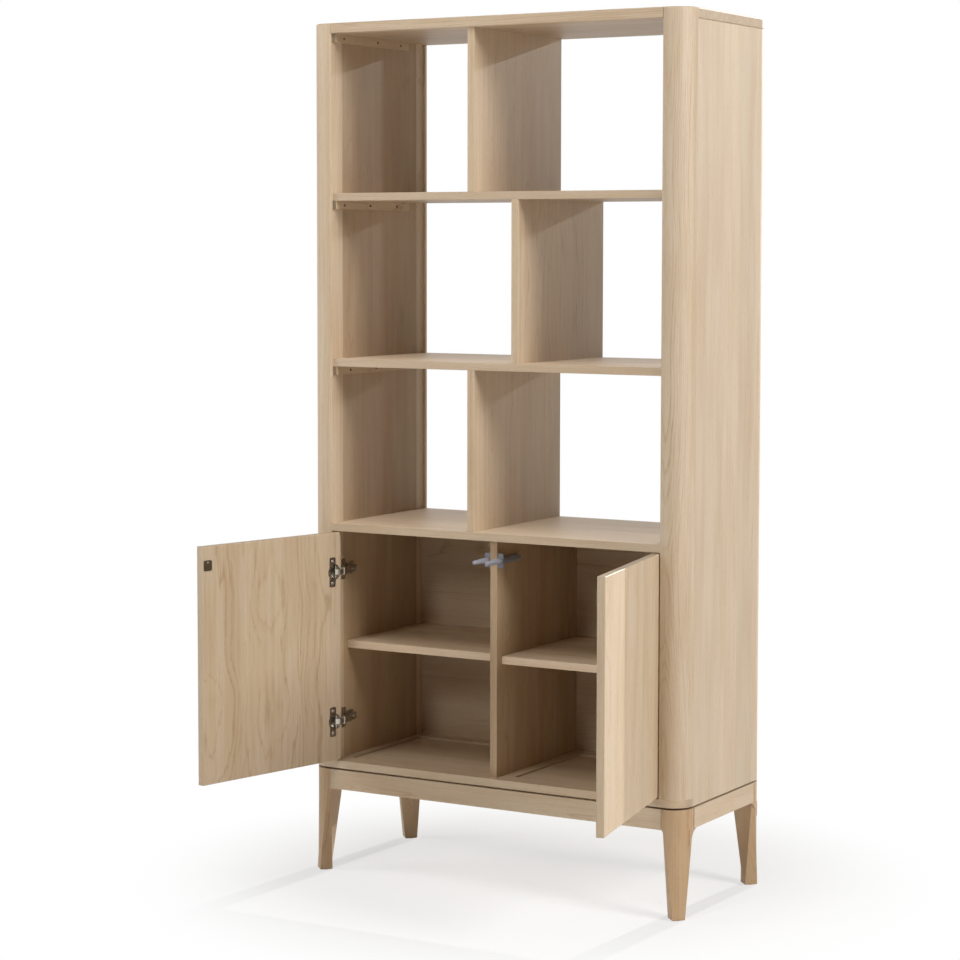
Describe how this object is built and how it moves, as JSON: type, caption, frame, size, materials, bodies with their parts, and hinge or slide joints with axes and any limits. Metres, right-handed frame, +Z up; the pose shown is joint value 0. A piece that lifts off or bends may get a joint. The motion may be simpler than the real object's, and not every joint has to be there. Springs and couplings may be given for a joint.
{
  "type": "bookcase",
  "caption": "Tall rounded bookcase with open shelves, offset uprights, a base cabinet with swinging doors on concealed hinges, and a tapered leg stand.",
  "frame": {"origin": "on the floor, at the middle of the four glides under the legs", "axes": "+X to the right seen from the front, +Y to the back, +Z up"},
  "size_m": [1.0339, 0.8353, 2],
  "materials": {
    "solid_oak": "white-washed oiled oak, matt",
    "panel_oak": "white-washed oak veneer, matt",
    "hinge_nickel": "nickel-plated pressed steel",
    "screw_steel": "plated steel",
    "plate_steel": "dark plated steel",
    "latch_plastic": "moulded grey plastic",
    "plunger_plastic": "moulded grey plastic",
    "glide_plastic": "dark moulded plastic"
  },
  "bodies": {
    "case": {"back_panel": "panel_oak", "cabinet_divider": "solid_oak", "cleat_screws": "screw_steel", "cleat_shelf_1_left": "solid_oak", "cleat_shelf_1_right": "solid_oak", "cleat_shelf_2_left": "solid_oak", "cleat_shelf_2_right": "solid_oak", "cleat_top_left": "solid_oak", "cleat_top_right": "solid_oak", "corner_plates": "plate_steel", "divider_1": "solid_oak", "divider_2": "solid_oak", "divider_3": "solid_oak", "divider_batten": "solid_oak", "floor_frame": "solid_oak", "floor_panel_left": "panel_oak", "floor_panel_right": "panel_oak", "glides": "glide_plastic", "half_shelf_left": "solid_oak", "half_shelf_right": "solid_oak", "hinge_arms_left": "hinge_nickel", "hinge_arms_right": "hinge_nickel", "left_latch": "latch_plastic", "leg_front_left": "solid_oak", "leg_front_right": "solid_oak", "leg_rear_left": "solid_oak", "leg_rear_right": "solid_oak", "post_front_left": "solid_oak", "post_front_right": "solid_oak", "post_rear_left": "solid_oak", "post_rear_right": "solid_oak", "rail_front": "solid_oak", "rail_left": "solid_oak", "rail_rear": "solid_oak", "rail_right": "solid_oak", "right_latch": "latch_plastic", "shelf_1": "solid_oak", "shelf_2": "solid_oak", "shelf_3": "solid_oak", "shelf_pins": "screw_steel", "side_left": "solid_oak", "side_right": "solid_oak", "spacers": "glide_plastic", "stand_screws": "screw_steel", "top_panel": "solid_oak"},
    "left_door": {"left_cup_lower": "hinge_nickel", "left_cup_screws": "screw_steel", "left_cup_upper": "hinge_nickel", "left_door": "solid_oak", "left_strike": "plate_steel"},
    "right_door": {"right_cup_lower": "hinge_nickel", "right_cup_screws": "screw_steel", "right_cup_upper": "hinge_nickel", "right_door": "solid_oak", "right_strike": "plate_steel"},
    "left_links": {"left_links": "hinge_nickel"},
    "right_links": {"right_links": "hinge_nickel"},
    "left_plunger": {"left_plunger": "plunger_plastic"},
    "right_plunger": {"right_plunger": "plunger_plastic"}
  },
  "joints": [
    {"name": "left_door_swing", "type": "hinge", "parent": "case", "child": "left_door", "pos_m": [-0.4234, -0.2075, 0.543], "axis": [0, 0, 1], "range_deg": [-7, 103]},
    {"name": "right_door_swing", "type": "hinge", "parent": "case", "child": "right_door", "pos_m": [0.4234, -0.2075, 0.543], "axis": [0, 0, -1], "range_deg": [-8.5, 101.5]},
    {"name": "left_link_swing", "type": "hinge", "parent": "case", "child": "left_links", "pos_m": [-0.4234, -0.2075, 0.543], "axis": [0, 0, 1], "range_deg": [-4.95, 72.15]},
    {"name": "right_link_swing", "type": "hinge", "parent": "case", "child": "right_links", "pos_m": [0.4234, -0.2075, 0.543], "axis": [0, 0, -1], "range_deg": [-6, 71.1]},
    {"name": "left_plunger_slide", "type": "slide", "parent": "case", "child": "left_plunger", "axis": [0, 1, 0], "range_m": [-0.0041, 0.0591]},
    {"name": "right_plunger_slide", "type": "slide", "parent": "case", "child": "right_plunger", "axis": [0, 1, 0], "range_m": [-0.0051, 0.0591]}
  ],
  "couplings": [
    {"joint": "left_link_swing", "follows": "left_door_swing", "ratio": 0.7},
    {"joint": "right_link_swing", "follows": "right_door_swing", "ratio": 0.7},
    {"joint": "left_plunger_slide", "follows": "left_door_swing", "m_per_rad": 0.03282},
    {"joint": "right_plunger_slide", "follows": "right_door_swing", "m_per_rad": 0.033305}
  ]
}
